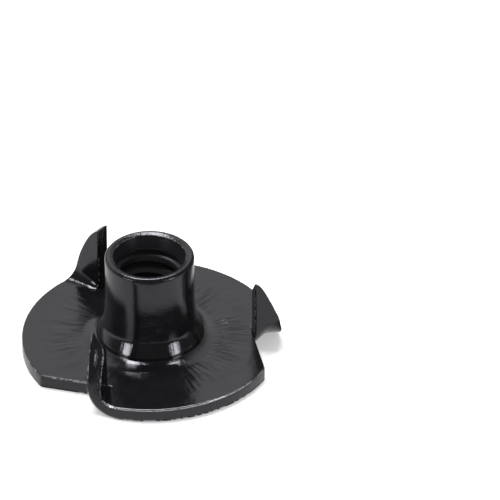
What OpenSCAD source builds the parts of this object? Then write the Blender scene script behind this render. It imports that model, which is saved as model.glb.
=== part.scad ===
// Three-prong tee nut, pressed and drawn from one piece of steel sheet.
// A round flange with three notches, a prong folded up beside each notch,
// and a threaded barrel drawn out of the middle of the flange.
// Millimetres. The origin is on the barrel's axis, on the flange's underside; +Z is up the barrel.

/* [Flange] */
// Diameter of the flange
flange_d = 19.05; // [17:0.05:24]
// Thickness of the sheet
sheet_t = 1.1; // [0.9:0.02:1.4]
// Rounding of the flange's lower rim, where the punch rolled the sheet over
rim_round = 0.12; // [0.05:0.01:0.4]
// Bevel of the flange's upper rim
rim_bevel = 0.05; // [0.02:0.01:0.2]

/* [Barrel] */
// Height from the flange's underside to the barrel's mouth
overall_h = 8.25; // [7.5:0.1:12]
// Outer diameter of the barrel's straight stretch
barrel_d = 6.62; // [6.4:0.02:6.8]
// Height above the flange at which the barrel starts to widen
taper_h = 3.7; // [2.5:0.05:4.2]
// Height above the flange of the top of the sloping shoulder at the barrel's foot
shoulder_h = 1.5; // [1.2:0.05:2.3]
// Height above the flange at which the shoulder turns steep
shoulder_low = 0.6; // [0.5:0.05:0.9]
// Outer diameter at the top of the shoulder
shoulder_top_d = 6.98; // [6.9:0.02:7.4]
// Largest diameter of the shoulder
shoulder_foot_d = 7.92; // [7.7:0.02:8.2]
// Height of the low cone that the shoulder stands in
apron_h = 0.27; // [0.2:0.01:0.32]
// Diameter at which that cone has run out into the flange
apron_d = 10.2; // [9.5:0.1:11]
// Rounding of the mouth's outer edge
mouth_round = 0.3; // [0.1:0.02:0.4]

/* [Thread and funnel] */
// Minor diameter of the thread, which is the bore left here
bore_d = 4.5; // [4.1:0.02:4.7]
// Diameter of the mouth's inner edge
mouth_d = 5.36; // [5.1:0.02:5.6]
// Depth of that edge below the mouth's crest
mouth_dip = 0.12; // [0.05:0.01:0.3]
// Depth below the crest at which the threaded bore starts
mouth_sink = 1.6; // [0.5:0.05:2]
// Height from the underside at which the threaded bore starts
bore_z = 2.75; // [2.5:0.05:3.2]
// Diameter of the funnel's throat, above its rounded lip
throat_d = 6.2; // [5.9:0.05:6.5]
// Radius of the funnel's rounded lip on the underside
lip_r = 1.2; // [0.8:0.05:1.3]
// Diameter at the top of the funnel
funnel_top_d = 5.1; // [4.9:0.05:5.4]

/* [Notches and prongs] */
// Direction of the first notch's outer corner, counter-clockwise from +X
first_corner = 213.3; // [0:0.1:360]
// Distance from the axis to the inner end of each notch
notch_in = [7.5, 7.81, 7.44]; // [7:0.05:8]
// Angle from each notch's outer corner to its inner end
notch_span = [23.5, 22.3, 22.6]; // [20:0.5:28]
// Direction of each prong's outer face, measured back from its notch's outer corner
face_back = [46, 50, 43]; // [38:0.5:52]
// Height of each prong's tip above the flange
prong_h = [4.75, 4.87, 5.2]; // [4.4:0.05:5.6]
// Width of each prong at the foot of its curved edge
prong_w = [1.95, 1.97, 2.15]; // [1.7:0.05:2.2]
// Height of that foot above the flange
prong_foot = [1.1, 0.95, 1.5]; // [0.9:0.05:1.6]
// How far each curved edge bulges out from a straight one
edge_bulge = [0.46, 0.3, 0.42]; // [0.15:0.01:0.55]
// Width of each prong half-way round its fold
fold_w = [2.25, 2.25, 2.5]; // [2.2:0.05:2.6]
// Outer radius of each fold
fold_outer = [2.1, 2.6, 2.3]; // [1.7:0.05:2.8]
// Inner radius of each fold
fold_hollow = [0.6, 0.7, 0.7]; // [0.3:0.05:0.7]

/* [Hidden] */
$fn = 96;
coat = "#1b1b1d";
eps = 0.01;
reach = 2 * flange_d;
prongs = len(prong_h);
flange_r = flange_d / 2;
barrel_r = barrel_d / 2;
foot_r = shoulder_foot_d / 2;
// The top of the low cone around the shoulder rises by this much for each millimetre inwards
apron_lean = 0.42;
apron_low = 0.17;
apron_in = foot_r + 0.05;
steep_h = apron_h + 0.17;
waist_r = barrel_r + 0.3 * (shoulder_top_d / 2 - barrel_r);
waist_h = (shoulder_h + taper_h) / 2;
lip_centre = throat_d / 2 + lip_r;
bore_lead = (funnel_top_d - bore_d) / 2;
crest_r = barrel_r - mouth_round;
fold_z = 1;

// Half of the section of the flange and the barrel, before anything is bored out
module solid_section() {
    union() {
        square([flange_r - rim_round, sheet_t - rim_bevel]);
        translate([0, rim_round])
            square([flange_r, sheet_t - rim_round - rim_bevel]);
        intersection() {
            translate([flange_r - rim_round, rim_round])
                circle(r = rim_round);
            translate([flange_r - rim_round, 0])
                square(rim_round);
        }
        polygon([
            [0, sheet_t - rim_bevel],
            [flange_r, sheet_t - rim_bevel],
            [flange_r - rim_bevel, sheet_t],
            [0, sheet_t]
        ]);
        polygon([
            [0, sheet_t],
            [apron_d / 2, sheet_t],
            [apron_in + (apron_h - apron_low) / apron_lean, sheet_t + apron_low],
            [apron_in, sheet_t + apron_h],
            [foot_r, sheet_t + steep_h],
            [foot_r, sheet_t + shoulder_low],
            [shoulder_top_d / 2, sheet_t + shoulder_h],
            [waist_r, sheet_t + waist_h],
            [barrel_r, sheet_t + taper_h],
            [barrel_r, overall_h - mouth_round],
            [0, overall_h - mouth_round]
        ]);
        square([crest_r, overall_h]);
        translate([crest_r, overall_h - mouth_round])
            circle(r = mouth_round);
    }
}

// Half of the section of the space inside: the funnel, the bore and the mouth
module hollow_section() {
    difference() {
        translate([0, -eps])
            square([lip_centre, lip_r + eps]);
        translate([lip_centre, lip_r])
            circle(r = lip_r);
    }
    polygon([
        [0, lip_r - eps],
        [throat_d / 2, lip_r - eps],
        [throat_d / 2, lip_r],
        [funnel_top_d / 2, bore_z - bore_lead],
        [bore_d / 2, bore_z],
        [bore_d / 2, overall_h - mouth_sink],
        [mouth_d / 2, overall_h - mouth_dip],
        [crest_r, overall_h],
        [crest_r, overall_h + eps],
        [0, overall_h + eps]
    ]);
}

// The flange and the drawn barrel, turned about the axis
module turned_body() {
    rotate_extrude($fn = 180)
        difference() {
            solid_section();
            hollow_section();
        }
}

// Moves its children to a notch's inner end: X faces out of the prong, Y runs along the fold
module at_notch(k) {
    turn = 360 / prongs * k;
    rotate([0, 0, first_corner + notch_span[k] + turn])
        translate([notch_in[k], 0, 0])
            rotate([0, 0, -face_back[k] - notch_span[k]])
                children();
}

// What a notch takes out of the flange, with the strip that its prong's fold stands in
module notch_space(k) {
    corner_x = flange_r * cos(notch_span[k]) - notch_in[k];
    corner_y = -flange_r * sin(notch_span[k]);
    lean = face_back[k] + notch_span[k];
    // The outer corner, turned from the notch's own direction to that of the prong's face
    edge_x = corner_x * cos(lean) - corner_y * sin(lean);
    edge_y = corner_x * sin(lean) + corner_y * cos(lean);
    stretch = 2;
    translate([0, 0, -eps])
        linear_extrude(sheet_t + 2 * eps)
            polygon([
                [0, 0],
                [edge_x * stretch, edge_y * stretch],
                [flange_r, flange_r],
                [-fold_outer[k], flange_r],
                [-fold_outer[k], 0]
            ]);
}

// Outline of a prong seen square on: X along the fold, Y up
module prong_outline(k) {
    foot = [prong_w[k], sheet_t + prong_foot[k]];
    tip = [0, sheet_t + prong_h[k]];
    // The curved edge is an arc through the foot and the tip
    chord = tip - foot;
    half = norm(chord) / 2;
    edge_r = (pow(half, 2) + pow(edge_bulge[k], 2)) / (2 * edge_bulge[k]);
    side = [chord[1], -chord[0]] / norm(chord);
    // The fold starts on the flange's rim
    lean = face_back[k] + notch_span[k];
    root_x = notch_in[k] * cos(lean) - fold_outer[k];
    root_w = sqrt(pow(flange_r, 2) - pow(root_x, 2)) - notch_in[k] * sin(lean);
    centre = (foot + tip) / 2 - (edge_r - edge_bulge[k]) * side;
    polygon([
        [0, 0],
        [root_w, 0],
        [fold_w[k], fold_z],
        foot,
        [0, foot[1]]
    ]);
    intersection() {
        translate(centre)
            circle(r = edge_r, $fn = 180);
        translate([0, foot[1] - eps])
            square([foot[0], reach]);
    }
}

// Section of a sheet that leaves the flange, folds up through a right angle and stands
module fold_section(k) {
    outer = fold_outer[k];
    hollow = fold_hollow[k];
    difference() {
        union() {
            intersection() {
                translate([-outer, outer])
                    circle(r = outer);
                translate([-outer, 0])
                    square(outer);
            }
            translate([-sheet_t, outer - eps])
                square([sheet_t, overall_h]);
        }
        translate([-reach - sheet_t, sheet_t + hollow])
            square(reach);
        translate([-reach - sheet_t - hollow, sheet_t])
            square(reach);
        translate([-sheet_t - hollow, sheet_t + hollow])
            circle(r = hollow);
    }
}

// One prong with its fold, in place
module prong(k) {
    at_notch(k)
        intersection() {
            translate([0, flange_r, 0])
                rotate([90, 0, 0])
                    linear_extrude(flange_r)
                        fold_section(k);
            translate([-fold_outer[k] - eps, 0, 0])
                rotate([90, 0, 90])
                    linear_extrude(fold_outer[k] + 2 * eps)
                        prong_outline(k);
        }
}

module tee_nut() {
    color(coat)
        union() {
            difference() {
                turned_body();
                for (k = [0 : prongs - 1])
                    at_notch(k)
                        notch_space(k);
            }
            for (k = [0 : prongs - 1])
                prong(k);
        }
}

tee_nut();
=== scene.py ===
import math
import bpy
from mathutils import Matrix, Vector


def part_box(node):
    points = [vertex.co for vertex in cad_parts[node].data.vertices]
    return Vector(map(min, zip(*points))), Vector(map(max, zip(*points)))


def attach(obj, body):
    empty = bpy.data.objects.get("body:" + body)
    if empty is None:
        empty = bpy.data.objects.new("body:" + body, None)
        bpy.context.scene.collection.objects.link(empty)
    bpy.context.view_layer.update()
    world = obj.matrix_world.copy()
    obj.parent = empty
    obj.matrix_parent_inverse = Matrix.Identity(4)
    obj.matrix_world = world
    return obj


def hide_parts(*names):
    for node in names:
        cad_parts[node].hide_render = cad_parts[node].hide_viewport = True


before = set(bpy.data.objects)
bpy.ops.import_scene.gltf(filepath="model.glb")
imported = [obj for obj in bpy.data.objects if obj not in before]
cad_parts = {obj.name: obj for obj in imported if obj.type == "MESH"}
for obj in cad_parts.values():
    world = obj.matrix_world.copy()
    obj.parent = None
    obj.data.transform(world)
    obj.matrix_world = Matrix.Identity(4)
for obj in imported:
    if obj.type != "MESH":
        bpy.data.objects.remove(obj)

from types import SimpleNamespace

import bmesh
import bpy
import numpy as np
from mathutils import Vector

bl_info = {
    "name": "Tee Nut",
    "version": (1, 0, 0),
    "blender": (4, 5, 0),
    "location": "3D View > Sidebar > Tee Nut",
    "description": "Builds a pressed three-prong tee nut with its thread, coat and stage",
    "category": "Add Mesh",
}

# All lengths in the frame and in the properties are metres; shapes are worked out in millimetres.
MM = 0.001
TAU = 2.0 * math.pi
NODE = "tee_nut"
BODY = "root"
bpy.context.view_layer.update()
NODE_LOW, NODE_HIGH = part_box(NODE)
PRONGS = 3


# ---------------------------------------------------------------- settings

def length(name, description, default, low=0.0):
    """A length property, in metres."""
    return bpy.props.FloatProperty(
        name=name, description=description, default=default, min=low, unit="LENGTH", precision=5
    )


def angle(name, description, degrees):
    """An angle property, given in degrees and stored in radians."""
    return bpy.props.FloatProperty(
        name=name, description=description, default=math.radians(degrees), subtype="ANGLE"
    )


def lengths(name, description, millimetres):
    """One length for each prong, given in millimetres and stored in metres."""
    return bpy.props.FloatVectorProperty(
        name=name, description=description, default=[v * MM for v in millimetres],
        size=PRONGS, unit="LENGTH", precision=5,
    )


def angles(name, description, degrees):
    """One angle for each prong, given in degrees and stored in radians."""
    return bpy.props.FloatVectorProperty(
        name=name, description=description, default=[math.radians(v) for v in degrees],
        size=PRONGS, subtype="EULER",
    )


def amount(name, description, default):
    """A plain factor."""
    return bpy.props.FloatProperty(name=name, description=description, default=default, min=0.0)


def colour(name, description, default):
    """A linear colour."""
    return bpy.props.FloatVectorProperty(
        name=name, description=description, default=default, size=3, min=0.0, max=1.0, subtype="COLOR"
    )


class TeeNutSizes(bpy.types.PropertyGroup):
    """Sizes of the pressed part."""

    flange_d: length("Flange diameter", "Diameter of the round flange", NODE_HIGH.y - NODE_LOW.y)
    overall_h: length("Height", "From the underside to the barrel's mouth", NODE_HIGH.z - NODE_LOW.z)
    sheet_t: length("Sheet", "Thickness of the steel sheet", 1.1 * MM)
    rolled_w: length("Rolled edge", "Width of the rolled lower edge of the sheet", 0.16 * MM)
    rolled_h: length("Rolled edge depth", "Depth of the rolled lower edge of the sheet", 0.08 * MM)
    sheared_w: length("Sheared edge", "Width of the sharper upper edge of the sheet", 0.09 * MM)
    barrel_d: length("Barrel diameter", "Outside of the barrel's straight stretch", 6.62 * MM)
    taper_h: length("Taper height", "Height above the flange where the barrel starts to widen", 3.7 * MM)
    shoulder_h: length("Shoulder height", "Height of the sloping shoulder above the flange", 1.5 * MM)
    shoulder_low: length("Shoulder base", "Height above the flange where the shoulder gets steep", 0.6 * MM)
    shoulder_top_d: length("Shoulder top", "Diameter at the top of the shoulder", 6.98 * MM)
    shoulder_foot_d: length("Shoulder foot", "Largest diameter of the shoulder", 7.93 * MM)
    apron_h: length("Apron height", "Height of the low cone around the shoulder's foot", 0.27 * MM)
    apron_d: length("Apron diameter", "Diameter at which that cone has run out into the flange", 10.2 * MM)
    mouth_round: length("Mouth rounding", "Rounding of the mouth's outer edge", 0.3 * MM)
    mouth_d: length("Mouth diameter", "Diameter of the mouth's inner edge", 5.36 * MM)
    mouth_dip: length("Mouth dip", "Depth of the mouth's inner edge below its crest", 0.12 * MM)
    mouth_sink: length("Countersink depth", "Depth at which the thread's crests start", 1.6 * MM)
    thread_d: length("Thread diameter", "Major diameter of the thread", 5.49 * MM)
    bore_d: length("Bore diameter", "Minor diameter of the thread", 4.5 * MM)
    pitch: length("Pitch", "Pitch of the thread, 24 turns to the inch", 25.4 / 24 * MM)
    bore_z: length("Bore start", "Height at which the thread's crests start", 2.75 * MM)
    throat_d: length("Throat diameter", "Diameter of the funnel above its rounded lip", 6.2 * MM)
    lip_r: length("Lip radius", "Radius of the funnel's rounded lip", 1.2 * MM)
    funnel_top_d: length("Funnel top", "Diameter at the top of the funnel", 5.1 * MM)
    first_corner: angle("First notch", "Direction of the first notch's outer corner", 213.3)
    notch_in: lengths("Notch reach", "Distance from the axis to each notch's inner end", (7.5, 7.81, 7.44))
    notch_span: angles("Notch span", "Angle from each outer corner to the inner end", (23.5, 22.3, 22.6))
    face_back: angles("Prong turn", "Turn of each outer face, back from the outer corner", (46, 50, 43))
    slit_bend: lengths("Fold at the slit", "Outer radius of each fold beside the slit", (1.4, 1.57, 1.45))
    rim_bend: lengths("Fold at the rim", "Outer radius of each fold at the rim", (2.25, 2.8, 2.4))
    slit_hollow: lengths("Hollow at the slit", "Inner radius of each fold beside the slit", (0.2, 0.3, 0.5))
    rim_hollow: lengths("Hollow at the rim", "Inner radius of each fold at the rim", (0.9, 1.2, 1.2))
    prong_h: lengths("Prong heights", "Height of each prong's tip above the flange", (4.75, 4.87, 5.2))
    prong_w: lengths("Prong widths", "Width of each prong at the foot of its curved edge", (1.95, 1.97, 2.15))
    prong_foot: lengths("Prong feet", "Height above the flange of that foot", (1.1, 0.95, 1.5))
    prong_flare: lengths("Prong flare", "Width at the control point below that foot", (2.2, 2.46, 2.5))
    belly_w: lengths("Belly width", "Width at the control point of the curved edge", (1.55, 0.68, 1.38))
    belly_h: lengths("Belly height", "Height above the flange of that control point", (3.75, 4.8, 4.45))
    tip_taper: lengths("Tip taper", "How much thinner each prong is at its tip", (0.45, 0.2, 0.0))
    tip_slant: lengths("Tip slant", "How much lower each prong's inner face ends", (1.1, 0.95, 0.0))
    tip_ledge: lengths("Tip ledge", "How far the edge's torn half stands back at the tip", (0.3, 0.1, 0.06))


class TeeNutFinish(bpy.types.PropertyGroup):
    """Colours and texture of the coat."""

    coat: colour("Coat", "Colour of the coat", (0.006, 0.0058, 0.0066))
    sheen: colour("Sheen", "Tint of the coat's gloss", (0.95, 0.92, 1.0))
    # Bare steel where the coat is rubbed thin; laid along edges, it is partly a painted glint
    wear_and_glint: colour("Worn edge", "Colour of the steel where the coat is rubbed thin", (0.42, 0.42, 0.43))
    roughness: amount("Roughness", "Roughness of the coat", 0.1)
    grain: amount("Grain", "Height of the coat's fine grain, in micrometres", 6.0)
    peel: amount("Peel", "Height of the coat's slow waves, in micrometres", 20.0)
    streaks: amount("Streaks", "Height of the forming marks, in micrometres", 70.0)


class TeeNutStage(bpy.types.PropertyGroup):
    """Camera, light and floor."""

    lens: bpy.props.FloatProperty(name="Lens", description="Focal length, mm", default=403.2)
    distance: length("Distance", "From the camera to its aim", 0.4114)
    elevation: angle("Elevation", "Height angle of the camera above the floor", 34.83)
    aim: bpy.props.FloatVectorProperty(
        name="Aim", description="Point that the camera looks at",
        default=(7.40 * MM, 0.0, 8.68 * MM), size=3, unit="LENGTH", precision=5,
    )
    floor: colour("Floor", "Colour of the floor", (0.86, 0.86, 0.86))
    sweep: amount("Sweep", "Brightness of the white sweep behind the nut, seen in the gloss", 1.0)
    shade: amount("Shade", "Brightness of the dark room in front and overhead, seen in the gloss", 0.12)
    fill: amount("Fill", "Brightness of the even light from all around", 0.38)
    key: amount("Key", "Brightness of the lamp overhead", 21.0)
    side: amount("Side", "Brightness of the two low lamps in front", 14.0)


def own_properties(group):
    """The property group's own properties, by name."""
    return {key: prop for key, prop in group.bl_rna.properties.items() if key not in ("rna_type", "name")}


def in_mm(group):
    """The lengths of a property group in millimetres, and its other values as they are."""
    values = {}
    for key, prop in own_properties(group).items():
        value = getattr(group, key)
        factor = 1.0 / MM if prop.unit == "LENGTH" else 1.0
        if getattr(prop, "is_array", False):
            values[key] = [v * factor for v in value]
        else:
            values[key] = value * factor
    return SimpleNamespace(**values)


# ---------------------------------------------------------------- plan of the blank

def heading(turn):
    """Unit vector in plan at an angle counter-clockwise from +X."""
    return np.array([math.cos(turn), math.sin(turn)])


def clustered(count, pull):
    """count + 1 values from 0 to 1 that lie closer together towards both ends."""
    t = np.linspace(0.0, 1.0, count + 1)
    return t - pull * np.sin(TAU * t) / TAU


def ease(t):
    """Goes smoothly from 0 to 1 as t does, and stays there."""
    t = np.clip(t, 0.0, 1.0)
    return t * t * (3.0 - 2.0 * t)


def curve(start, control, end, t):
    """Points of a quadratic curve at the values t."""
    t = np.asarray(t)[:, None]
    start, control, end = np.asarray(start), np.asarray(control), np.asarray(end)
    return (1 - t) ** 2 * start + 2 * t * (1 - t) * control + t**2 * end


# Columns of the mesh along each stretch of a third of the outline
RIM_COLUMNS = 104
CORNER_COLUMNS = 6
CUT_COLUMNS = 40
ROOT_COLUMNS = 20
FREE_COLUMNS = RIM_COLUMNS + CORNER_COLUMNS + CUT_COLUMNS
THIRD_COLUMNS = FREE_COLUMNS + ROOT_COLUMNS
# How closely the columns gather at both ends of a stretch
RIM_PULL = 0.5
CUT_PULL = 0.6
ROOT_STEPS = clustered(ROOT_COLUMNS, 0.86)
# Length of the rounding on each side of a notch's outer corner, in millimetres
CORNER_EASE = 0.16
# How far the columns that meet a fold swing round towards the flange's side
FOLD_FAN = math.radians(14.0)
# Share of a fold's length over which its radius grows from the slit
BEND_EASE = 0.55
# Rows across a fold and up the upright stretch of a prong
FOLD_STEPS = 26
STAND_ROWS = 48
# Width of a prong at its very tip, in millimetres
TIP_W = 0.04
# Points along a prong's edge, and rounds in which a row's width settles on it
EDGE_POINTS = 200
WIDTH_ROUNDS = 12


class Notch:
    """Places and directions of one notch and its prong, in plan."""

    def __init__(self, s, k):
        turn = s.first_corner + TAU * k / PRONGS
        self.index = k
        self.turn = turn
        self.corner = s.flange_r * heading(turn)
        self.inner = s.notch_in[k] * heading(turn + s.notch_span[k])
        self.out = heading(turn - s.face_back[k])
        self.along = heading(turn - s.face_back[k] + TAU / 4)
        self.bends = s.slit_bend[k], s.rim_bend[k]
        self.sheet_t = s.sheet_t
        self.tip_z = s.sheet_t + s.prong_h[k]
        rim_side = self.inner - self.bends[1] * self.out
        ahead = rim_side @ self.along
        self.root_w = math.sqrt(ahead**2 + s.flange_r**2 - rim_side @ rim_side) - ahead
        self.root = self.inner - self.bends[0] * self.out
        rim_end = rim_side + self.root_w * self.along
        self.rim_turn = math.atan2(rim_end[1], rim_end[0])
        self.cut = (self.root - self.corner) / np.linalg.norm(self.root - self.corner)

    def bend(self, u):
        """Outer radius of the fold, which grows from the slit towards the rim."""
        slit, rim = self.bends
        return slit + (rim - slit) * ease(np.asarray(u) / (BEND_EASE * self.root_w))

    def fold_w(self, u):
        """Length of sheet in the fold."""
        return (self.bend(u) - self.sheet_t / 2) * TAU / 4

    def place(self, u, row):
        """Distance from the root of a row: 0 to 1 across the fold, then 1 to 2 up to the tip."""
        in_fold = self.fold_w(u) * np.minimum(row, 1.0)
        upright = (self.tip_z - self.bend(u)) * np.maximum(row - 1.0, 0.0)
        return in_fold + upright

    def height(self, u, row):
        """Height of a row above the flange, carried on downwards through the unfolded fold."""
        return self.place(u, row) - self.fold_w(u) + self.bend(u) - self.sheet_t

    def flat(self, u, w):
        """Plan places on the unfolded prong: u along the fold, w away from its root."""
        return self.inner + np.multiply.outer(u, self.along) + np.multiply.outer(w - self.bend(u), self.out)


def third_outline(s, notch, following):
    """Outline points from one prong's rim point to the next prong's, without the last point."""
    corner_turn = CORNER_EASE / s.flange_r
    span = (following.turn - corner_turn - notch.rim_turn) % TAU
    rim_turns = notch.rim_turn + span * clustered(RIM_COLUMNS, RIM_PULL)
    rim = s.flange_r * np.stack([np.cos(rim_turns), np.sin(rim_turns)], axis=1)
    cut_start = following.corner + CORNER_EASE * following.cut
    corner = curve(rim[-1], following.corner, cut_start, np.linspace(0, 1, CORNER_COLUMNS + 1))
    steps = clustered(CUT_COLUMNS, CUT_PULL)[:, None]
    cut = cut_start + steps * (following.root - cut_start)
    root = following.flat(ROOT_STEPS * following.root_w, np.zeros(ROOT_COLUMNS + 1))
    return np.concatenate([rim[:-1], corner[:-1], cut[:-1], root[:-1]])


def free_stretch(k):
    """The part of the whole outline's points that lies on a third's free edge."""
    first = k * THIRD_COLUMNS
    return slice(first, first + FREE_COLUMNS + 1)


def prong_widths(s, notch, rows):
    """Width of the prong at each of its rows."""
    k = notch.index
    root = [notch.root_w, notch.height(notch.root_w, 0.0)]
    foot = [s.prong_w[k], s.prong_foot[k]]
    t = np.linspace(0.0, 1.0, EDGE_POINTS)
    lower = curve(root, [s.prong_flare[k], (root[1] + foot[1]) / 2], foot, t)
    upper = curve(foot, [s.belly_w[k], s.belly_h[k]], [TIP_W, s.prong_h[k]], t)
    edge = np.concatenate([lower, upper[1:]])
    widths = np.full(len(rows), s.prong_w[k])
    # A row's height depends on the fold's radius there, and so on the width that is sought
    for _ in range(WIDTH_ROUNDS):
        widths = np.interp(notch.height(widths, rows), edge[:, 1], edge[:, 0])
    return widths


def prong_rows():
    """The mesh's rows: shares of the fold from 0 to 1, then of the upright stretch from 1 to 2."""
    fold = clustered(FOLD_STEPS, -0.5)
    stand = np.linspace(0.0, 1.0, STAND_ROWS + 1)[1:]
    return np.concatenate([fold, 2.0 - (1.0 - stand) ** 1.25])


def edge_distance(points, loops):
    """Shortest distance from each plan point to the outline's free edges."""
    starts = np.concatenate([loop[:-1] for loop in loops])
    ends = np.concatenate([loop[1:] for loop in loops])
    runs = ends - starts
    squares = np.maximum((runs**2).sum(axis=1), 1e-12)
    flat = points.reshape(-1, 2)
    nearest = np.empty(len(flat))
    # In portions, so that the table of all pairs stays small
    chunk = 1500
    for first in range(0, len(flat), chunk):
        part = flat[first:first + chunk, None, :] - starts[None]
        t = np.clip((part * runs).sum(axis=2) / squares, 0.0, 1.0)
        gap = part - t[..., None] * runs
        nearest[first:first + chunk] = np.sqrt((gap**2).sum(axis=2).min(axis=1))
    return nearest.reshape(points.shape[:-1])


def edge_drop(distance, width, depth):
    """How far a face sinks towards a rounded edge."""
    t = np.clip(1.0 - distance / width, 0.0, 1.0)
    return depth * (1.0 - np.sqrt(np.maximum(0.0, 1.0 - t**2)))


# ---------------------------------------------------------------- mesh

# Distance within which points on a seam are welded, in metres
WELD = 2e-7
# Marks that the mesh's points carry for the coat; the edge mark also places painted glints and the bore mark
# painted light
MARKS = ("edge", "cut", "bore")


class Skin:
    """Collects grids of points and faces; seams that coincide are welded at the end."""

    def __init__(self):
        self.points = []
        self.marks = []
        self.faces = []
        self.count = 0

    def add(self, points, edge=0.0, cut=0.0, bore=0.0):
        """Adds points and returns their numbers; edge, cut and bore mark them for the coat and the light
        painted into it.
        """
        points = np.asarray(points, float)
        shape = points.shape[:-1]
        number = int(np.prod(shape))
        self.points.append(points.reshape(-1, 3))
        marks = [np.broadcast_to(mark, shape).reshape(-1) for mark in (edge, cut, bore)]
        self.marks.append(np.stack(marks, axis=1))
        index = np.arange(self.count, self.count + number).reshape(shape)
        self.count += number
        return index

    def grid(self, points, flip=False, **marks):
        """Adds a grid of points with its faces."""
        index = self.add(points, **marks)
        quads = np.stack([index[:-1, :-1], index[:-1, 1:], index[1:, 1:], index[1:, :-1]], axis=-1)
        quads = quads.reshape(-1, 4)
        self.faces.extend((quads[:, ::-1] if flip else quads).tolist())
        return index

    def fan(self, coarse, fine):
        """Joins a ring to one with twice as many columns."""
        for i in range(coarse.shape[0] - 1):
            a, b = int(coarse[i]), int(coarse[i + 1])
            start, middle, end = (int(fine[2 * i + n]) for n in range(3))
            self.faces.extend([[a, start, middle], [a, middle, b], [b, middle, end]])

    def mesh(self, name):
        """Welds the seams and returns a closed mesh, in metres."""
        mesh = bpy.data.meshes.new(name)
        points = np.concatenate(self.points) * MM
        mesh.from_pydata(points.tolist(), [], self.faces)
        marks = np.concatenate(self.marks)
        for column, key in enumerate(MARKS):
            layer = mesh.attributes.new(key, "FLOAT", "POINT")
            layer.data.foreach_set("value", marks[:, column].astype(np.float32))
        work = bmesh.new()
        work.from_mesh(mesh)
        bmesh.ops.remove_doubles(work, verts=work.verts, dist=WELD)
        bmesh.ops.dissolve_degenerate(work, edges=work.edges, dist=WELD)
        bmesh.ops.recalc_face_normals(work, faces=work.faces)
        open_edges = [edge for edge in work.edges if len(edge.link_faces) != 2]
        if open_edges:
            middle = sum((edge.verts[0].co for edge in open_edges), Vector()) / len(open_edges)
            raise RuntimeError(f"{name} isn't closed: {len(open_edges)} edges near {middle}")
        work.to_mesh(mesh)
        work.free()
        mesh.shade_smooth()
        return mesh


# Distances from the outline of the rows nearest to it, in millimetres
EDGE_ROWS = np.array([0.0, 0.006, 0.018, 0.036, 0.06, 0.1, 0.15, 0.21, 0.3, 0.45])
# Rows across the rest of the flange, and how they draw together towards the outline
FLAT_ROWS = 13
FLAT_POWER = 0.85
# Rows across a sheared face
CUT_ROWS = 9
# Distance over which the mark of an edge fades out on a face, in millimetres
EDGE_FADE = 0.06
# How much of that mark the rolled lower edge keeps
ROLLED_MARK = 0.3
# Depth of the sharp upper edge for each millimetre of its width
SHEARED_DEPTH = 0.8
# Share of a sheared face, from above, at which its torn half has ended, and the share over
# which it ends
TORN_END = 0.75
TORN_FADE = 0.45
# Mark of the cut on the burnished half, for 1 on the torn half
BURNISHED_MARK = 0.3


class Sheet:
    """Heights of the sheet's two faces over the unfolded blank."""

    def __init__(self, s, loops):
        self.s = s
        self.loops = loops

    def faces(self, plan):
        """Offsets of the upper and lower face from mid-sheet, and nearness to an edge."""
        s = self.s
        distance = edge_distance(plan, self.loops)
        upper = s.sheet_t / 2 - edge_drop(distance, s.sheared_w, s.sheared_w * SHEARED_DEPTH)
        lower = -s.sheet_t / 2 + edge_drop(distance, s.rolled_w, s.rolled_h)
        return upper, lower, np.exp(-distance / EDGE_FADE)


def edge_band(skin, upper, lower, step=None):
    """Joins the two faces' edge points across the sheared face, whose torn half may stand back."""
    t = np.linspace(0.0, 1.0, CUT_ROWS + 1)[:, None, None]
    torn = ease((TORN_END - t) / TORN_FADE)
    rows = upper[None] * (1 - t) + lower[None] * t
    if step is not None:
        rows = rows + step[None] * (torn - (1 - t))
    near = np.abs(1 - 2 * t[..., 0]) ** 6
    skin.grid(rows, edge=near, cut=BURNISHED_MARK + (1 - BURNISHED_MARK) * torn[..., 0])


def free_loops(s, notches, outline):
    """The outline's free edges on the unfolded blank, as open chains of points."""
    loops = []
    rows = prong_rows()
    for k, notch in enumerate(notches):
        loops.append(outline[free_stretch(k)])
        widths = prong_widths(s, notch, rows)
        slit_u = np.zeros(len(rows))
        slit = notch.flat(slit_u, notch.place(slit_u, rows))
        curved = notch.flat(widths, notch.place(widths, rows))
        loops.append(np.concatenate([slit, curved[::-1]]))
    return loops


def flange(skin, s, notches):
    """The flange's two faces and sheared edges; returns its inner rings' point numbers."""
    thirds = [third_outline(s, notches[k], notches[(k + 1) % PRONGS]) for k in range(PRONGS)]
    outline = np.concatenate(thirds + [thirds[0][:1]])
    sheet = Sheet(s, free_loops(s, notches, outline))
    rings = []
    for inner_r in (s.apron_r, s.lip_centre):
        inner = inner_r * np.stack([np.cos(s.columns), np.sin(s.columns)], axis=1)
        run = outline - inner
        reach = np.linalg.norm(run, axis=1)
        steps = np.linspace(0.0, 1.0, FLAT_ROWS)[:-1] ** FLAT_POWER
        distances = [(reach - EDGE_ROWS[-1]) * step for step in steps]
        distances += [reach - row for row in EDGE_ROWS[::-1]]
        fractions = np.stack(distances) / reach
        rings.append(inner[None] + fractions[..., None] * run[None])
    upper_plan, lower_plan = rings
    upper, _, upper_near = sheet.faces(upper_plan)
    _, lower, lower_near = sheet.faces(lower_plan)
    middle = s.sheet_t / 2
    upper_points = np.concatenate([upper_plan, (middle + upper)[..., None]], axis=-1)
    lower_points = np.concatenate([lower_plan, (middle + lower)[..., None]], axis=-1)
    upper_index = skin.grid(upper_points, edge=upper_near)
    lower_index = skin.grid(lower_points, flip=True, edge=lower_near * ROLLED_MARK)
    for k in range(PRONGS):
        edge_band(skin, upper_points[-1, free_stretch(k)], lower_points[-1, free_stretch(k)])
    return sheet, upper_index[0], lower_index[0]


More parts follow.
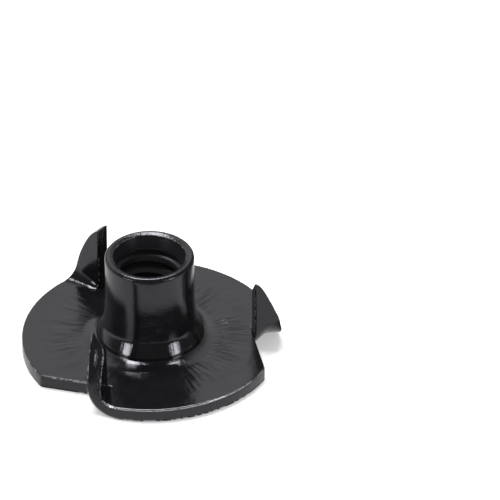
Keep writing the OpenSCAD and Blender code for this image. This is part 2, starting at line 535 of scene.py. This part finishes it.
def bend_reach(turn, leg, radius):
    """Distance, along a ray, to the section of a fold: two legs and the arc between them."""
    sine, cosine = np.sin(turn), np.cos(turn)
    short = leg - radius
    inside = radius**2 - (short * (cosine - sine)) ** 2
    on_arc = short * (sine + cosine) + np.sqrt(np.maximum(inside, 0.0))
    on_legs = leg / np.maximum(sine, cosine)
    steep = np.minimum(sine, cosine) * (short + radius) > short * np.maximum(sine, cosine)
    return np.where(steep & (inside > 0.0), on_arc, on_legs)


def folded(s, notch, u, w, drop, inner):
    """Bends places on the unfolded prong up around its fold, on its inner or outer face."""
    bend = notch.bend(u)
    fold = notch.fold_w(u)
    turn = np.clip(w / fold, 0.0, 1.0) * TAU / 4
    if inner:
        hollow = s.slit_hollow[notch.index], s.rim_hollow[notch.index]
        radius = hollow[0] + (hollow[1] - hollow[0]) * np.clip(u / notch.root_w, 0.0, 1.0)
        reach = bend_reach(turn, bend - s.sheet_t, np.minimum(radius, bend - s.sheet_t)) + drop
    else:
        reach = bend - drop
    out = reach * np.sin(turn) - bend
    up = bend - reach * np.cos(turn) + np.maximum(w - fold, 0.0)
    plan = notch.inner + u[..., None] * notch.along + out[..., None] * notch.out
    return np.concatenate([plan, up[..., None]], axis=-1)


# Distances below the tip over which a prong gets thinner, its inner face falls short, and the
# torn half of its curved edge stands back, which it does in full nearer to the tip
TAPER_REACH = 1.5
SLANT_REACH = 3.0
LEDGE_REACH = 3.2
LEDGE_FULL = 1.2
# Largest share of the prong's width by which that half may stand back
LEDGE_SHARE = 0.6


def prong(skin, s, sheet, notch):
    """One prong with its fold and its sheared edges."""
    k = notch.index
    rows = prong_rows()
    widths = prong_widths(s, notch, rows)
    u = widths[:, None] * ROOT_STEPS[None]
    w = notch.place(u, rows[:, None])
    upper, lower, near = sheet.faces(notch.flat(u, w))
    below = notch.place(u, 2.0) - w
    taper = s.tip_taper[k] * np.clip(1.0 - below / TAPER_REACH, 0.0, 1.0) ** 2
    slant = s.tip_slant[k] * np.clip(1.0 - below / SLANT_REACH, 0.0, 1.0) ** 2
    ledge = s.tip_ledge[k] * ease((LEDGE_REACH - below[:, -1]) / (LEDGE_REACH - LEDGE_FULL))
    back = np.minimum(ledge, LEDGE_SHARE * widths)
    upper = s.sheet_t / 2 - upper + taper
    lower = s.sheet_t / 2 + lower
    short = w - slant
    plain_face = folded(s, notch, u, short, upper, True)
    inner_face = folded(s, notch, u * (1.0 - back / widths)[:, None], short, upper, True)
    outer_face = folded(s, notch, u, w, lower, False)
    skin.grid(inner_face, edge=near)
    skin.grid(outer_face, flip=True, edge=near)
    step = inner_face - plain_face
    slit, tip, curved = np.s_[:, 0], np.s_[-1, :], np.s_[::-1, -1]
    for side in (slit, tip, curved):
        edge_band(skin, inner_face[side], outer_face[side], step[side])


def turned(skin, profile, columns, edge=0.0, bore=0.0):
    """A surface turned about the axis from (radius, height) points; edge and bore mark its rows."""
    profile = np.asarray(profile)
    points = np.empty((len(profile), len(columns), 3))
    points[..., 0] = profile[:, :1] * np.cos(columns)
    points[..., 1] = profile[:, :1] * np.sin(columns)
    points[..., 2] = profile[:, 1:]
    marks = {"edge": np.asarray(edge)[..., None], "bore": np.asarray(bore)[..., None]}
    return skin.grid(points, flip=True, **marks)


def arc(centre, radius, start, end, count):
    """Points of an arc in (radius, height), between two angles in radians."""
    turns = np.linspace(start, end, count + 1)
    return np.stack([centre[0] + radius * np.cos(turns), centre[1] + radius * np.sin(turns)], axis=1)


def line(start, end, count):
    """Points of a straight stretch, ends included."""
    t = np.linspace(0.0, 1.0, count + 1)[:, None]
    return np.asarray(start) * (1 - t) + np.asarray(end) * t


def chain(*stretches):
    """Joins stretches that share their end points."""
    return np.concatenate([stretches[0]] + [stretch[1:] for stretch in stretches[1:]])


# Slope of the low cone around the shoulder's foot, the height at which it turns into its run-out,
# and the slope with which the run-out leaves it
APRON_LEAN = 0.42
APRON_LOW = 0.17
RUN_OUT_LEAN = 0.3
# Width and rise of the bend between that cone and the shoulder's foot, in millimetres
FOOT_BEND_W = 0.055
FOOT_BEND_H = 0.17
# Width and depth of the bend where the shoulder turns steep
STEEP_BEND_W = 0.035
STEEP_BEND_H = 0.08
# Shares of the stretches below and above the shoulder's crease that are bent
CREASE_BELOW = 0.25
CREASE_ABOVE = 0.2
# Where the taper's waist lies between the barrel and the crease, outwards and upwards
WAIST_OUT = 0.12
WAIST_UP = 0.5
# Share of the taper and height of the wall in the bend between them
TAPER_BEND = 0.1
TAPER_BEND_H = 0.08


def outer_profile(s):
    """Outside of the barrel, from the flange up to the mouth's crest."""
    foot_r, top_r, barrel_r = s.shoulder_foot_d / 2, s.shoulder_top_d / 2, s.barrel_d / 2
    flat, cone_low_z, cone_top_z = s.sheet_t, s.sheet_t + APRON_LOW, s.sheet_t + s.apron_h
    steep_z = s.sheet_t + s.shoulder_low
    cone_top_r = foot_r + FOOT_BEND_W
    cone_low_r = cone_top_r + (cone_top_z - cone_low_z) / APRON_LEAN
    crease = np.array([top_r, s.sheet_t + s.shoulder_h])
    waist_rise = WAIST_UP * (s.taper_h - s.shoulder_h)
    waist = np.array([barrel_r + WAIST_OUT * (top_r - barrel_r), crease[1] + waist_rise])
    taper_top = np.array([barrel_r, s.sheet_t + s.taper_h])
    wall_top = [barrel_r, s.overall_h - s.mouth_round]
    fine, middling, coarse = (np.linspace(0.0, 1.0, count) for count in (11, 9, 5))

    run_out_control = [cone_low_r + APRON_LOW / RUN_OUT_LEAN, flat]
    run_out = curve([s.apron_r, flat], run_out_control, [cone_low_r, cone_low_z], middling)
    apron = line(run_out[-1], [cone_top_r, cone_top_z], 4)
    foot_control = [foot_r, cone_top_z + FOOT_BEND_W * APRON_LEAN]
    foot = curve(apron[-1], foot_control, [foot_r, cone_top_z + FOOT_BEND_H], middling)
    base_end = [foot_r - STEEP_BEND_W, steep_z]
    base = curve(foot[-1], [foot_r, steep_z - STEEP_BEND_H], base_end, coarse)
    shoulder = line(base[-1], crease + CREASE_BELOW * (base[-1] - crease), 6)
    bend = curve(shoulder[-1], crease, crease + CREASE_ABOVE * (waist - crease), middling)
    taper = curve(bend[-1], waist, taper_top + TAPER_BEND * (waist - taper_top), fine)
    top_bend = curve(taper[-1], taper_top, taper_top + [0.0, TAPER_BEND_H], coarse)
    wall = line(top_bend[-1], wall_top, 14)
    round_edge = arc((barrel_r - s.mouth_round, wall_top[1]), s.mouth_round, 0.0, TAU / 4, 9)
    return chain(run_out, apron, foot, base, shoulder, bend, taper, top_bend, wall, round_edge)


# Width of the bend between the mouth's crest and its land, and the share of the dip that lies in it
CREST_BEND = 0.1
CREST_DIP = 0.2
# Reach of the rounding on both sides of the mouth's inner edge, and of the mark of that edge
MOUTH_EASE = 0.03
MOUTH_FADE = 0.05


def mouth_profile(s):
    """The mouth's land, which dips inwards, and the countersink down to the thread."""
    mouth_r, crest_r = s.mouth_d / 2, s.barrel_d / 2 - s.mouth_round
    edge_z = s.overall_h - s.mouth_dip
    t = np.linspace(0.0, 1.0, 5)
    land_start = [crest_r - CREST_BEND, s.overall_h - CREST_DIP * s.mouth_dip]
    crest = curve([crest_r, s.overall_h], [crest_r - CREST_BEND / 2, s.overall_h], land_start, t)
    lean = (land_start[1] - edge_z) / (land_start[0] - mouth_r)
    land = line(crest[-1], [mouth_r + MOUTH_EASE, edge_z + MOUTH_EASE * lean], 4)
    low_edge = [sink_radius(s, edge_z - MOUTH_EASE), edge_z - MOUTH_EASE]
    edge = curve(land[-1], [mouth_r, edge_z], low_edge, t)
    sink = line(edge[-1], [sink_radius(s, s.thread_high), s.thread_high], 2)
    return chain(crest, land, edge, sink)


def sink_radius(s, z):
    """Radius of the cone that leads from the mouth's inner edge down to the bore."""
    lean = (s.mouth_d - s.bore_d) / 2 / (s.mouth_sink - s.mouth_dip)
    return s.bore_d / 2 + lean * (z - s.overall_h + s.mouth_sink)


def funnel_radius(s, z):
    """Radius of the cone that leads from the funnel into the thread."""
    return s.bore_d / 2 + (s.bore_z - z)


# Distances from the mouth down, and from the bore's start down, to the ends of the thread's mesh
THREAD_TOP = 0.3
THREAD_END = 0.05
# Distance over which the groove fades out at each end
THREAD_FADE = 0.7
# Depth of a 60 degree thread's flank for each millimetre along the axis
FLANK = math.sqrt(3.0)
# Width of the small rounding at the thread's crest
CREST_EASE = 0.012
# Half of the groove's flat root, as a share of the pitch
ROOT_SHARE = 1.0 / 16.0
# Shares of the mark of the inside, each with the depth below the mouth's edge over which it grows
BORE_MARKS = ((0.3, 0.1), (0.7, 3.5))


def thread_depth(s, phase, z):
    """Depth of the thread's groove, from its middle along the axis; it fades out at both ends."""
    full = (s.thread_d - s.bore_d) / 2
    groove = np.clip(full - (np.abs(phase) - ROOT_SHARE * s.pitch) * FLANK, 0.0, full)
    from_end = np.minimum(s.thread_high - z, z - s.thread_low)
    return groove * np.clip(from_end / THREAD_FADE, 0.0, 1.0)


def bore_mark(s, z):
    """Mark of the inside, which grows with the depth below the mouth: the coat is rougher and less glossy
    there, and lighter, which is painted light.
    """
    below = s.overall_h - s.mouth_dip - z
    return sum(share * ease(below / depth) for share, depth in BORE_MARKS)


def thread(skin, s, columns):
    """The thread, in rows that follow its helix and stop at two level rings."""
    low_z, high_z = s.thread_low, s.thread_high
    root_half = ROOT_SHARE * s.pitch
    crest = root_half + (s.thread_d - s.bore_d) / 2 / FLANK
    flank = np.concatenate([np.linspace(root_half, crest, 5), [crest + CREST_EASE]])
    phases = np.concatenate([[0.0], flank, s.pitch - flank[::-1]])
    first = math.floor((low_z - s.pitch) / s.pitch)
    last = math.ceil(high_z / s.pitch)
    base = np.concatenate([turn * s.pitch + phases for turn in range(first, last + 1)])
    climb = s.pitch * (columns - columns[0]) / TAU
    z = np.clip(base[:, None] + climb[None], low_z, high_z)
    phase = (z - climb[None] + s.pitch / 2) % s.pitch - s.pitch / 2
    radius = s.bore_d / 2 + thread_depth(s, phase, z)
    radius = np.maximum(radius, np.maximum(sink_radius(s, z), funnel_radius(s, z)))
    used = np.flatnonzero((z.max(axis=1) > low_z) & (z.min(axis=1) < high_z))
    keep = slice(max(used[0] - 1, 0), used[-1] + 2)
    points = np.stack([radius * np.cos(columns), radius * np.sin(columns), z], axis=-1)[keep]
    skin.grid(points, bore=bore_mark(s, points[..., 2]))


# Height of the upright stretch towards which the funnel's wall bends above its lip
THROAT_RISE = 0.35


def funnel_profile(s):
    """The funnel, from the thread's start down to the underside."""
    quarter = TAU / 4
    throat_r = s.throat_d / 2
    cone_start = [funnel_radius(s, s.thread_low), s.thread_low]
    cone_end = [s.funnel_top_d / 2, s.bore_z - (s.funnel_top_d - s.bore_d) / 2]
    cone = line(cone_start, cone_end, 2)
    t = np.linspace(0.0, 1.0, 8)
    throat = curve(cone_end, [throat_r, s.lip_r + THROAT_RISE], [throat_r, s.lip_r], t)
    lip = arc((s.lip_centre, s.lip_r), s.lip_r, 2 * quarter, 3 * quarter, 12)
    return chain(cone, throat, lip)


def ring_turns(notches):
    """Directions of the mesh's columns around the barrel, which meet each fold from the flange's side."""
    turns = []
    for k, notch in enumerate(notches):
        following = notches[(k + 1) % PRONGS]
        start = notch.rim_turn + FOLD_FAN
        corner = start + (following.turn - start) % TAU
        slit = corner + (math.atan2(following.root[1], following.root[0]) - corner) % TAU
        end = slit + (following.rim_turn + FOLD_FAN - slit) % TAU
        stops = (0, RIM_COLUMNS + CORNER_COLUMNS, FREE_COLUMNS, THIRD_COLUMNS)
        turns.append(np.interp(np.arange(THIRD_COLUMNS), stops, (start, corner, slit, end)))
    turns = np.concatenate(turns + [turns[0][:1]])
    return np.unwrap(turns)


def nut_mesh(s):
    """The whole pressed part as one closed mesh."""
    skin = Skin()
    notches = [Notch(s, k) for k in range(PRONGS)]
    s.columns = ring_turns(notches)
    sheet, upper_ring, lower_ring = flange(skin, s, notches)
    for notch in notches:
        prong(skin, s, sheet, notch)
    coarse = s.columns[::2]
    outside = turned(skin, outer_profile(s), coarse)
    mouth = mouth_profile(s)
    # The mark of the mouth's inner edge lays bare steel along it, partly a painted highlight on that edge
    from_edge = np.hypot(mouth[:, 0] - s.mouth_d / 2, mouth[:, 1] - s.overall_h + s.mouth_dip)
    turned(skin, mouth, coarse, np.exp(-from_edge / MOUTH_FADE), bore_mark(s, mouth[:, 1]))
    thread(skin, s, coarse)
    funnel = funnel_profile(s)
    # On the funnel the inside's mark, with its painted light, grows from the underside upwards
    inside = turned(skin, funnel, coarse, bore=ease(funnel[:, 1] / s.lip_r))
    skin.fan(outside[0], upper_ring)
    skin.fan(inside[-1], lower_ring)
    return skin.mesh("tee_nut_pressed")


# ---------------------------------------------------------------- material

class Graph:
    """Adds nodes to a tree and links them."""

    def __init__(self, tree):
        self.tree = tree
        tree.nodes.clear()

    def node(self, kind, inputs=None, **settings):
        """Adds a node; inputs maps a socket's name or number to a value or an output."""
        made = self.tree.nodes.new(kind)
        for key, value in settings.items():
            setattr(made, key, value)
        for key, value in (inputs or {}).items():
            if isinstance(value, bpy.types.NodeSocket):
                self.tree.links.new(value, made.inputs[key])
            else:
                made.inputs[key].default_value = value
        return made

    def maths(self, operation, *values, clamp=False):
        """A Math node's output."""
        sockets = dict(enumerate(values))
        return self.node("ShaderNodeMath", sockets, operation=operation, use_clamp=clamp).outputs[0]

    def vector(self, operation, *values, output=0, **inputs):
        """A Vector Math node's output."""
        sockets = dict(enumerate(values))
        sockets.update(inputs)
        return self.node("ShaderNodeVectorMath", sockets, operation=operation).outputs[output]

    def split(self, vector):
        """A vector's three parts."""
        return self.node("ShaderNodeSeparateXYZ", {0: vector}).outputs

    def join(self, *parts):
        """A vector from its three parts."""
        return self.node("ShaderNodeCombineXYZ", dict(enumerate(parts))).outputs[0]

    def blend(self, share, first, second):
        """A colour that goes from the first to the second as share goes from 0 to 1."""
        return self.node("ShaderNodeMix", {0: share, 6: first, 7: second}, data_type="RGBA").outputs[2]

    def noise(self, vector, scale, detail=2.0, roughness=0.5):
        """A noise texture's value."""
        sockets = {"Vector": vector, "Scale": scale, "Detail": detail, "Roughness": roughness}
        return self.node("ShaderNodeTexNoise", sockets).outputs["Fac"]

    def ramp(self, value, low, high):
        """Maps a value's range to 0..1, smoothly and clamped."""
        sockets = {"Value": value, "From Min": low, "From Max": high, "To Min": 0.0, "To Max": 1.0}
        return self.node("ShaderNodeMapRange", sockets, interpolation_type="SMOOTHSTEP").outputs[0]

    def attribute(self, name):
        """A mesh attribute's value."""
        return self.node("ShaderNodeAttribute", attribute_name=name).outputs["Fac"]

    def bump(self, height, micrometres, normal=None):
        """A bump of the given height, over an earlier one."""
        sockets = {"Height": height, "Distance": micrometres * 1e-6, "Strength": 1.0}
        if normal is not None:
            sockets["Normal"] = normal
        return self.node("ShaderNodeBump", sockets).outputs["Normal"]


def opaque(colour, factor=1.0):
    """A colour made lighter or darker by a factor, with its alpha."""
    return tuple(factor * part for part in colour) + (1.0,)


def coat_places(g):
    """What the coat's texture depends on: places in millimetres, and the mesh's marks."""
    mm = g.vector("SCALE", g.node("ShaderNodeTexCoord").outputs["Object"], Scale=1.0 / MM)
    x, y, z = g.split(mm)
    plan = g.join(x, y, 0.0)
    radius = g.vector("LENGTH", plan, output=1)
    around = g.vector("NORMALIZE", plan)
    marks = {mark: g.attribute(mark) for mark in MARKS}
    return SimpleNamespace(mm=mm, y=y, z=z, radius=radius, around=around, **marks)


def forming_marks(g, at):
    """Marks that run out from the barrel over the flange: their noise, and the patches they lie in."""
    long_r = g.join(0.0, 0.0, g.maths("MULTIPLY", at.radius, 0.35))
    spokes = g.noise(g.vector("ADD", g.vector("SCALE", at.around, Scale=22.0), long_r), 1.0, 3.0)
    ring = g.maths("MULTIPLY", g.ramp(at.radius, 4.5, 5.4), g.ramp(at.radius, 8.6, 5.6))
    patches = g.ramp(g.noise(at.mm, 0.3, 1.0), 0.34, 0.52)
    return spokes, g.maths("MULTIPLY", ring, patches)


def draw_marks(g, at):
    """Height of the marks that run up the barrel, and are deeper on the mouth's land."""
    long_z = g.join(0.0, 0.0, g.maths("MULTIPLY", at.z, 0.3))
    drawn = g.noise(g.vector("ADD", g.vector("SCALE", at.around, Scale=30.0), long_z), 1.0, 2.0)
    on_land = g.maths("MULTIPLY_ADD", g.ramp(at.z, 8.0, 8.1), 0.9, 1.0)
    return g.maths("MULTIPLY", g.maths("MULTIPLY", drawn, g.ramp(at.radius, 4.1, 3.7)), on_land)


def coat_relief(g, finish, at, spokes, patches):
    """The coat's normal: slow waves, forming marks, draw marks, tears on sheared faces and grain."""
    off_barrel = g.maths("MULTIPLY_ADD", g.ramp(at.radius, 3.9, 4.3), 0.6, 0.4)
    waves = g.maths("MULTIPLY", g.noise(at.mm, 1.3, 1.0), off_barrel)
    across_sheet = g.vector("MULTIPLY", at.mm, (7.0, 7.0, 1.2))
    tears = g.maths("MULTIPLY", g.noise(across_sheet, 1.0, 2.0), at.cut)
    normal = g.bump(waves, finish.peel)
    normal = g.bump(g.maths("MULTIPLY", spokes, patches), finish.streaks, normal)
    normal = g.bump(draw_marks(g, at), finish.streaks * 0.15, normal)
    normal = g.bump(tears, finish.streaks * 0.45, normal)
    return g.bump(g.noise(at.mm, 8.0, 2.0, 0.6), finish.grain, normal)


def rubbed_edges_and_glints(g, at):
    """Where the coat is rubbed thin, in short lengths along sharp edges and most on the front rim; this bare
    steel is partly painted glint, and on the front rim painted highlight.
    """
    # Painted highlight: the front rim gets nearly unbroken bare steel, standing in for the bright line along
    # that edge
    front = g.maths("MULTIPLY", g.ramp(at.y, -5.0, -7.5), g.ramp(at.z, 1.6, 1.2))
    rubbed = g.maths("MULTIPLY_ADD", front, 0.17, g.noise(at.mm, 1.9, 4.0, 0.75))
    near_edge = g.maths("MULTIPLY_ADD", front, 0.22, at.edge)
    return g.maths("MULTIPLY", g.ramp(near_edge, 0.45, 0.9), g.ramp(rubbed, 0.48, 0.62), clamp=True)


def coat_colour(g, finish, at, wear_and_glint):
    """Black in two tones, with painted light inside the thread and the bare steel of rubbed edges, partly
    painted glint.
    """
    tone = g.ramp(g.noise(at.mm, 0.6, 3.0), 0.3, 0.75)
    base = g.blend(tone, opaque(finish.coat), opaque(finish.coat, 1.35))
    # Painted light: the coat gets lighter deeper inside the bore, standing in for light given back inside it,
    # not a colour the coat has
    base = g.blend(at.bore, base, opaque(finish.coat, 5.5))
    return g.blend(wear_and_glint, base, opaque(finish.wear_and_glint))


def coat_roughness(g, finish, at):
    """Roughness, which grows from the barrel to the flange, on sheared faces and in the thread."""
    rough = g.maths("MULTIPLY_ADD", g.noise(at.mm, 3.0, 3.0), 0.1, finish.roughness - 0.05)
    rough = g.maths("MULTIPLY_ADD", g.ramp(at.radius, 4.3, 5.3), 0.05, rough)
    rough = g.maths("MULTIPLY_ADD", at.cut, 0.12, rough)
    return g.maths("MULTIPLY_ADD", at.bore, 0.4, rough)


def coat_gloss(g, at, spokes, patches):
    """Strength of the gloss: less in the forming marks, on sheared faces and in the thread, and painted shade
    on the lowest rolled edge.
    """
    furrows = g.maths("MULTIPLY", g.ramp(spokes, 0.42, 0.66), patches)
    gloss = g.maths("MULTIPLY_ADD", furrows, -0.3, 0.53)
    gloss = g.maths("MULTIPLY_ADD", at.cut, -0.05, gloss)
    gloss = g.maths("MULTIPLY_ADD", at.bore, -0.2, gloss)
    # Painted shade: the gloss is turned off on the rolled edge that rests on the floor, standing in for the
    # dark gap under it that it would mirror
    facing_up = g.split(g.node("ShaderNodeNewGeometry").outputs["Normal"])[2]
    contact_shade = g.maths("MULTIPLY", g.ramp(at.z, 0.22, 0.1), g.ramp(facing_up, -0.99, -0.9))
    return g.maths("MULTIPLY", gloss, g.maths("SUBTRACT", 1.0, contact_shade))


def coat_material(finish):
    """Glossy black coat with grain, forming marks, edges where the steel shows and painted glints along them,
    painted light inside the bore and painted shade on the lowest rolled edge.
    """
    material = bpy.data.materials.new("gloss_black_coat")
    material.use_nodes = True
    g = Graph(material.node_tree)
    at = coat_places(g)
    spokes, patches = forming_marks(g, at)
    wear_and_glint = rubbed_edges_and_glints(g, at)
    shader = g.node("ShaderNodeBsdfPrincipled", {
        "Base Color": coat_colour(g, finish, at, wear_and_glint),
        "Roughness": coat_roughness(g, finish, at),
        "Metallic": wear_and_glint,
        "Normal": coat_relief(g, finish, at, spokes, patches),
        "IOR": 1.5,
        "Specular IOR Level": coat_gloss(g, at, spokes, patches),
        "Specular Tint": opaque(finish.sheen),
    })
    g.node("ShaderNodeOutputMaterial", {"Surface": shader.outputs[0]})
    return material


# ---------------------------------------------------------------- operators

class TEENUT_OT_nut(bpy.types.Operator):
    """Build the pressed nut and give it its coat"""

    bl_idname = "tee_nut.nut"
    bl_label = "Build the nut"

    def execute(self, context):
        s = in_mm(context.scene.tee_nut_sizes)
        s.flange_r = s.flange_d / 2
        s.apron_r = s.apron_d / 2
        s.lip_centre = s.throat_d / 2 + s.lip_r
        s.thread_low = s.bore_z - THREAD_END
        s.thread_high = s.overall_h - THREAD_TOP
        nut = bpy.data.objects.new("tee_nut_pressed", nut_mesh(s))
        context.scene.collection.objects.link(nut)
        nut.data.materials.append(coat_material(context.scene.tee_nut_finish))
        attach(nut, BODY)
        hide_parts(NODE)
        return {"FINISHED"}


# The white mat that the gloss shows on the floor: its front edge, the edge on its right from
# a place backwards, and half of the width of its soft border
MAT_FRONT = -15.4 * MM
MAT_RIGHT = 9.8 * MM
MAT_NOTCH = -1.5 * MM
MAT_FADE = 0.7 * MM
# How much darker the mat is than the sweep
MAT_DIM = 0.05
# Light that the floor gives the camera on top of what falls on it
FLOOR_LIFT = 0.35


def floor_material(stage):
    """Pale floor that keeps the nut's shadow and shows as a white mat in the gloss."""
    material = bpy.data.materials.new("pale_floor")
    material.use_nodes = True
    g = Graph(material.node_tree)
    path = g.node("ShaderNodeLightPath").outputs
    x, y, _ = g.split(g.node("ShaderNodeNewGeometry").outputs["Position"])
    front = g.ramp(y, MAT_FRONT - MAT_FADE, MAT_FRONT + MAT_FADE)
    past_right = g.ramp(x, MAT_RIGHT - MAT_FADE, MAT_RIGHT + MAT_FADE)
    past_notch = g.ramp(y, MAT_NOTCH - MAT_FADE, MAT_NOTCH + MAT_FADE)
    beside = g.maths("MULTIPLY", past_right, past_notch)
    mat = g.maths("MULTIPLY", front, g.maths("SUBTRACT", 1.0, beside))
    in_gloss = g.maths("MULTIPLY_ADD", mat, stage.sweep - MAT_DIM - stage.shade, stage.shade)
    for_camera = g.maths("MULTIPLY", path["Is Camera Ray"], FLOOR_LIFT)
    strength = g.maths("MULTIPLY_ADD", path["Is Glossy Ray"], in_gloss, for_camera)
    plain = g.node("ShaderNodeBsdfDiffuse", {"Color": opaque(stage.floor)}).outputs[0]
    lift = g.node("ShaderNodeEmission", {"Strength": strength}).outputs[0]
    both = g.node("ShaderNodeAddShader", {0: plain, 1: lift}).outputs[0]
    chosen = g.node("ShaderNodeMixShader", {0: path["Is Glossy Ray"], 1: both, 2: lift}).outputs[0]
    g.node("ShaderNodeOutputMaterial", {"Surface": chosen})
    return material


def surround(stage):
    """White for the camera; in the gloss, a white sweep behind and a dark room in front and above."""
    world = bpy.data.worlds.new("studio")
    world.use_nodes = True
    g = Graph(world.node_tree)
    x, y, z = g.split(g.node("ShaderNodeTexCoord").outputs["Generated"])
    behind = g.ramp(y, 0.0, 0.35)
    low = g.maths("MULTIPLY", g.ramp(z, 0.88, 0.76), g.ramp(z, 0.18, 0.4))
    not_right = g.ramp(x, 0.6, 0.25)
    sweep = g.maths("MULTIPLY", g.maths("MULTIPLY", behind, low), not_right)
    gloss = g.maths("MULTIPLY_ADD", sweep, stage.sweep - stage.shade, stage.shade)
    path = g.node("ShaderNodeLightPath").outputs
    level = g.node("ShaderNodeMix", {0: path["Is Glossy Ray"], 2: stage.fill, 3: gloss}).outputs[0]
    level = g.node("ShaderNodeMix", {0: path["Is Camera Ray"], 2: level, 3: 1.0}).outputs[0]
    background = g.node("ShaderNodeBackground", {"Color": (1.0, 1.0, 1.0, 1.0), "Strength": level})
    g.node("ShaderNodeOutputWorld", {"Surface": background.outputs[0]})
    return world


# Distance of each lamp from the nut, and the lamps' widths and heights, in metres
LAMP_DISTANCE = 0.3
OVERHEAD_SIZE = (0.24, 0.062)
LOW_SIZE = (0.07, 0.07)
# Brightness of the low lamp on the right for that on the left
RIGHT_SHARE = 0.9


def lamp(scene, name, toward, size, radiance):
    """A soft lamp in a direction from the nut, which looks at it; size is its width and height."""
    data = bpy.data.lights.new(name, "AREA")
    data.shape = "RECTANGLE"
    data.size, data.size_y = size
    data.energy = radiance * math.pi * size[0] * size[1]
    made = bpy.data.objects.new(name, data)
    toward = Vector(toward).normalized()
    made.location = toward * LAMP_DISTANCE
    made.rotation_euler = toward.to_track_quat("Z", "Y").to_euler()
    scene.collection.objects.link(made)


def floor_plane(scene, stage):
    """The wide floor in the plane of the flange's underside."""
    half = 1.5
    corners = [(-half, -half, 0), (half, -half, 0), (half, half, 0), (-half, half, 0)]
    mesh = bpy.data.meshes.new("floor")
    mesh.from_pydata(corners, [], [(0, 1, 2, 3)])
    mesh.materials.append(floor_material(stage))
    floor = bpy.data.objects.new("floor", mesh)
    scene.collection.objects.link(floor)


def aimed_camera(scene, stage):
    """The camera, in front of the nut and above it, turned to its aim."""
    camera = bpy.data.objects.new("camera", bpy.data.cameras.new("camera"))
    camera.data.lens = stage.lens
    camera.data.clip_start = 0.01
    camera.data.clip_end = 10.0
    rise = stage.elevation
    back = Vector((0.0, -math.cos(rise), math.sin(rise)))
    camera.location = Vector(stage.aim) + stage.distance * back
    camera.rotation_euler = (TAU / 4 - rise, 0.0, 0.0)
    scene.collection.objects.link(camera)
    scene.camera = camera


class TEENUT_OT_stage(bpy.types.Operator):
    """Set up the floor, the light and the camera"""

    bl_idname = "tee_nut.stage"
    bl_label = "Set the stage"

    def execute(self, context):
        scene = context.scene
        stage = scene.tee_nut_stage
        scene.view_settings.view_transform = "Standard"
        floor_plane(scene, stage)
        scene.world = surround(stage)
        lamp(scene, "overhead_lamp", (-0.12, 0.21, 0.97), OVERHEAD_SIZE, stage.key)
        lamp(scene, "left_lamp", (-0.75, -0.63, 0.2), LOW_SIZE, stage.side)
        lamp(scene, "right_lamp", (0.8, -0.57, 0.2), LOW_SIZE, RIGHT_SHARE * stage.side)
        aimed_camera(scene, stage)
        return {"FINISHED"}


class TEENUT_PT_panel(bpy.types.Panel):
    """Lists the tee nut's steps"""

    bl_idname = "TEENUT_PT_panel"
    bl_label = "Tee Nut"
    bl_space_type = "VIEW_3D"
    bl_region_type = "UI"
    bl_category = "Tee Nut"

    def draw(self, context):
        layout = self.layout
        for step in STEPS:
            layout.operator(step.bl_idname)
        for name in GROUPS:
            group = getattr(context.scene, name)
            box = layout.box()
            for key in own_properties(group):
                box.prop(group, key)


STEPS = (TEENUT_OT_nut, TEENUT_OT_stage)
GROUPS = {"tee_nut_sizes": TeeNutSizes, "tee_nut_finish": TeeNutFinish, "tee_nut_stage": TeeNutStage}
CLASSES = tuple(GROUPS.values()) + STEPS + (TEENUT_PT_panel,)


def register():
    """Registers the classes and hangs the property groups on the scene."""
    for cls in CLASSES:
        bpy.utils.register_class(cls)
    for key, group in GROUPS.items():
        setattr(bpy.types.Scene, key, bpy.props.PointerProperty(type=group))


def unregister():
    """Takes the property groups and the classes away again."""
    for key in GROUPS:
        delattr(bpy.types.Scene, key)
    for cls in reversed(CLASSES):
        bpy.utils.unregister_class(cls)


def main():
    """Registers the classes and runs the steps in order."""
    register()
    bpy.ops.tee_nut.nut()
    bpy.ops.tee_nut.stage()


if __name__ == "__main__":
    main()
